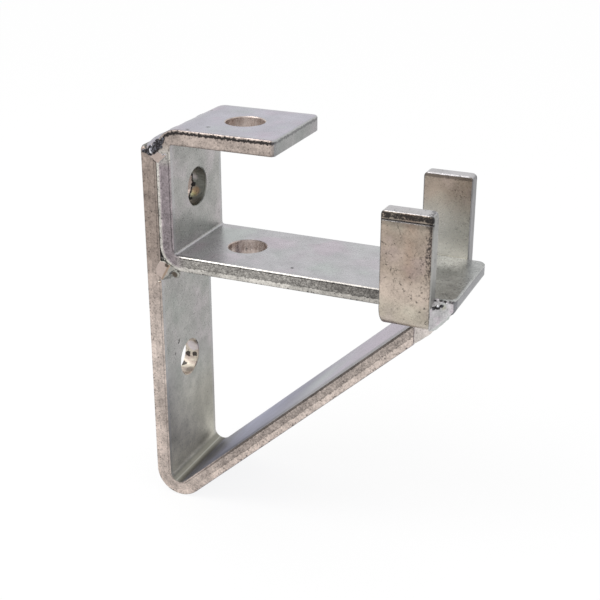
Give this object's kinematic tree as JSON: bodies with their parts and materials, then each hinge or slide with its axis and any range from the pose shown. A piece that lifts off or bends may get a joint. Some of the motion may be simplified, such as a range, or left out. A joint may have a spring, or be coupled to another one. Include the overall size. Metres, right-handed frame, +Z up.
{
  "type": "welded wall support bracket",
  "caption": "Zinc-plated wall bracket of welded flat bar: a C throat with a pin hole above the arm, a braced arm, and a U cradle at its tip.",
  "frame": {"origin": "on the wall plane, midway between the two wall holes", "axes": "+X out from the wall along the arm, +Y across the bars, +Z up"},
  "size_m": [0.1193, 0.0524, 0.1509],
  "materials": {
    "zinc_strap": "bright zinc plate on flat bar",
    "zinc_c_strap": "bright zinc plate on flat bar",
    "zinc_cradle": "warm zinc plate on flat bar",
    "weld_bead": "plated weld metal"
  },
  "bodies": {
    "root": {"wall_strap": "zinc_strap", "c_strap": "zinc_c_strap", "cradle": "zinc_cradle", "top_weld": "weld_bead", "heel_weld": "weld_bead", "brace_weld": "weld_bead", "tip_weld": "weld_bead"}
  },
  "joints": []
}
